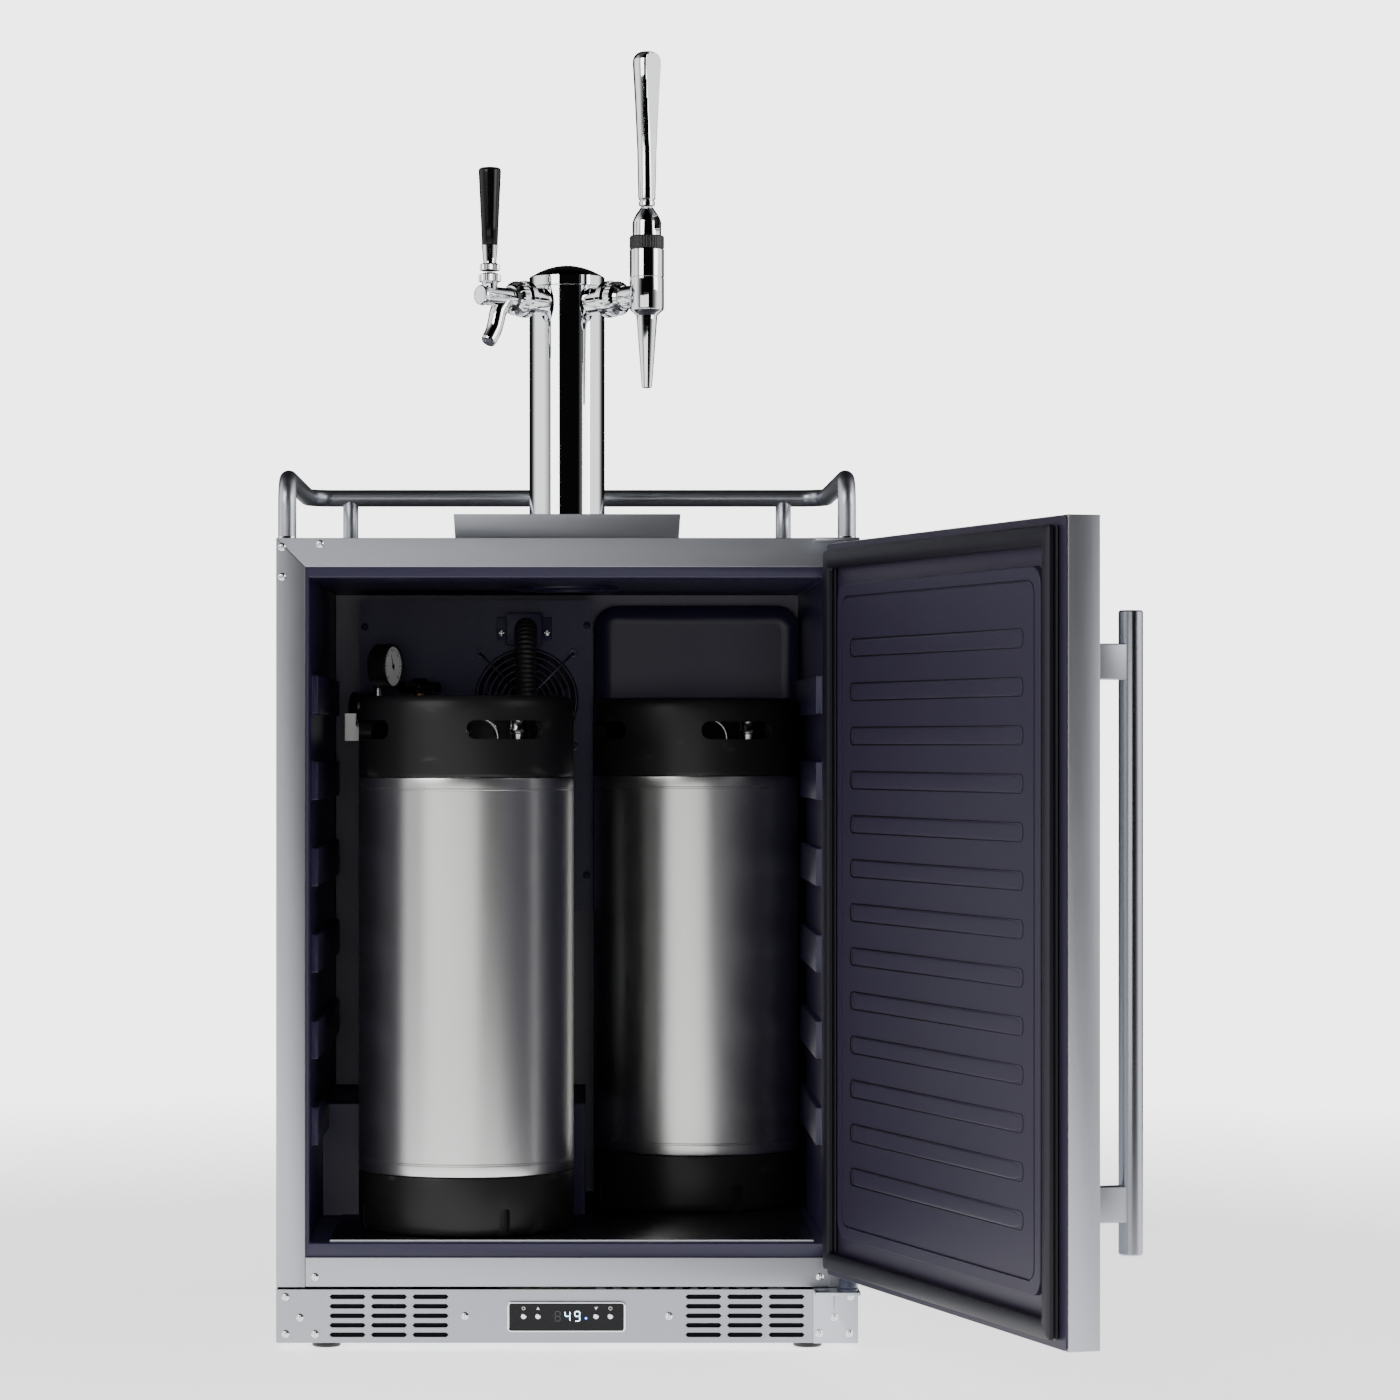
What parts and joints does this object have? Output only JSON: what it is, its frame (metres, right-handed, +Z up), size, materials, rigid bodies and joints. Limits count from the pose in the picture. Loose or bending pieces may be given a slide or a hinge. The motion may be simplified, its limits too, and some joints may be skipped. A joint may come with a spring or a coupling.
{
  "type": "kegerator",
  "caption": "Undercounter beer dispenser: steel cabinet with a hinged door, kegs and gas inside, and a draft tower with a beer faucet and a stout faucet on top.",
  "frame": {"origin": "middle of the base pan's flat underside, 8 mm above the floor", "axes": "+Z up, -Y out of the door opening, +X to the right seen from the front"},
  "size_m": [0.8253, 1.1915, 1.3739],
  "materials": {
    "brushed_steel": "vertical and horizontal brush grain, satin",
    "rail_steel": "satin polished tube",
    "hinge_steel": "satin, clear zinc",
    "galvanised": "zinc coated sheet",
    "panel_glass": "black glass behind a thin silver rim",
    "chrome": "mirror polish",
    "keg_steel": "fine ring brushed",
    "liner_plastic": "moulded satin, dark navy black",
    "door_plastic": "moulded satin, dark violet grey",
    "gasket": "soft vinyl",
    "dark_metal": "textured powder coat",
    "black_plastic": "moulded",
    "black_gloss": "glossy",
    "black_rubber": "satin rubber",
    "foam": "rigid polyurethane foam",
    "aluminium": "satin",
    "brass": "machined",
    "regulator_metal": "plated",
    "compressor_paint": "black stove enamel",
    "dial": "white dial under a clear lens"
  },
  "bodies": {
    "cabinet": {"outer_case": "brushed_steel", "base_pan": "galvanised", "rear_panel": "galvanised", "rear_cover": "galvanised", "power_inlet": "black_plastic", "liner": "liner_plastic", "foam_insulation": "foam", "face_stile_left": "brushed_steel", "face_stile_right": "brushed_steel", "face_rail_top": "brushed_steel", "face_rail_bottom": "brushed_steel", "kick_grille": "brushed_steel", "control_panel": "panel_glass", "floor_plate": "brushed_steel", "hinge_bracket_lower": "hinge_steel", "hinge_bracket_upper": "hinge_steel", "evaporator_cover": "dark_metal", "evaporator_coil": "aluminium", "fan_motor": "black_plastic", "fan_guard": "dark_metal", "hose_bracket": "dark_metal", "cooling_hose": "black_rubber", "compressor": "compressor_paint", "condenser": "aluminium", "guard_rail": "rail_steel", "drip_tray": "brushed_steel", "tower_column": "chrome", "tower_cap": "chrome", "shank_left": "chrome", "shank_right": "chrome", "beer_faucet": "chrome", "stout_faucet": "chrome", "gas_cylinder": "aluminium", "cylinder_valve": "brass", "regulator": "regulator_metal", "pressure_gauge": "dial"},
    "door": {"door_skin": "brushed_steel", "door_foam": "foam", "door_liner": "door_plastic", "door_gasket": "gasket", "door_handle": "rail_steel"},
    "beer_lever": {"tap_lever": "chrome", "tap_handle": "black_gloss"},
    "stout_lever": {"stout_handle": "chrome"},
    "fan": {"fan_blades": "black_plastic"},
    "button_unit_cap": {"button_unit": "chrome"},
    "button_up_cap": {"button_up": "chrome"},
    "button_down_cap": {"button_down": "chrome"},
    "button_power_cap": {"button_power": "chrome"},
    "levelling_foot_left": {"foot_left": "black_plastic"},
    "levelling_foot_right": {"foot_right": "black_plastic"},
    "roller": {"rear_roller": "black_plastic"},
    "handwheel": {"valve_handwheel": "black_plastic"},
    "grid": {"drip_grid": "brushed_steel"},
    "keg_left": {"keg_left_shell": "keg_steel", "keg_left_top_chime": "black_rubber", "keg_left_base_chime": "black_rubber"},
    "keg_right": {"keg_right_shell": "keg_steel", "keg_right_top_chime": "black_rubber", "keg_right_base_chime": "black_rubber"}
  },
  "joints": [
    {"name": "door_hinge", "type": "hinge", "parent": "cabinet", "child": "door", "pos_m": [0.287, -0.33, 0.45], "axis": [0, 0, 1], "range_deg": [-107.6, 12.4]},
    {"name": "beer_tap_pull", "type": "hinge", "parent": "cabinet", "child": "beer_lever", "pos_m": [-0.08344, -0.08344, 1.112], "axis": [0.7071, -0.7071, 0], "range_deg": [0, 20]},
    {"name": "stout_tap_pull", "type": "hinge", "parent": "cabinet", "child": "stout_lever", "pos_m": [0.08627, -0.08627, 1.18], "axis": [0.7071, 0.7071, 0], "range_deg": [0, 20]},
    {"name": "evaporator_fan_spin", "type": "hinge", "parent": "cabinet", "child": "fan", "pos_m": [-0.0455, 0.113, 0.667], "axis": [0, 1, 0], "continuous": true},
    {"name": "button_unit_press", "type": "slide", "parent": "cabinet", "child": "button_unit_cap", "axis": [0, 1, 0], "range_m": [0, 0.0009], "stiffness_N_per_m": 500},
    {"name": "button_up_press", "type": "slide", "parent": "cabinet", "child": "button_up_cap", "axis": [0, 1, 0], "range_m": [0, 0.0009], "stiffness_N_per_m": 500},
    {"name": "button_down_press", "type": "slide", "parent": "cabinet", "child": "button_down_cap", "axis": [0, 1, 0], "range_m": [0, 0.0009], "stiffness_N_per_m": 500},
    {"name": "button_power_press", "type": "slide", "parent": "cabinet", "child": "button_power_cap", "axis": [0, 1, 0], "range_m": [0, 0.0009], "stiffness_N_per_m": 500},
    {"name": "foot_left_turn", "type": "hinge", "parent": "cabinet", "child": "levelling_foot_left", "pos_m": [-0.25, -0.262, 0], "axis": [0, 0, 1], "continuous": true},
    {"name": "foot_right_turn", "type": "hinge", "parent": "cabinet", "child": "levelling_foot_right", "pos_m": [0.25, -0.262, 0], "axis": [0, 0, 1], "continuous": true},
    {"name": "rear_roller_roll", "type": "hinge", "parent": "cabinet", "child": "roller", "pos_m": [0, 0.262, 0.006], "axis": [1, 0, 0], "continuous": true},
    {"name": "gas_valve_turn", "type": "hinge", "parent": "cabinet", "child": "handwheel", "pos_m": [-0.163, 0.028, 0.68], "axis": [0, 0, 1], "range_deg": [0, 540]},
    {"name": "drip_grid_lift", "type": "slide", "parent": "cabinet", "child": "grid", "axis": [0, 0, 1], "range_m": [0, 0.05]},
    {"name": "keg_left_slide", "type": "slide", "parent": "cabinet", "child": "keg_left", "axis": [0, -1, 0], "range_m": [0, 0.12]},
    {"name": "keg_right_slide", "type": "slide", "parent": "cabinet", "child": "keg_right", "axis": [0, -1, 0], "range_m": [0, 0.36]}
  ]
}
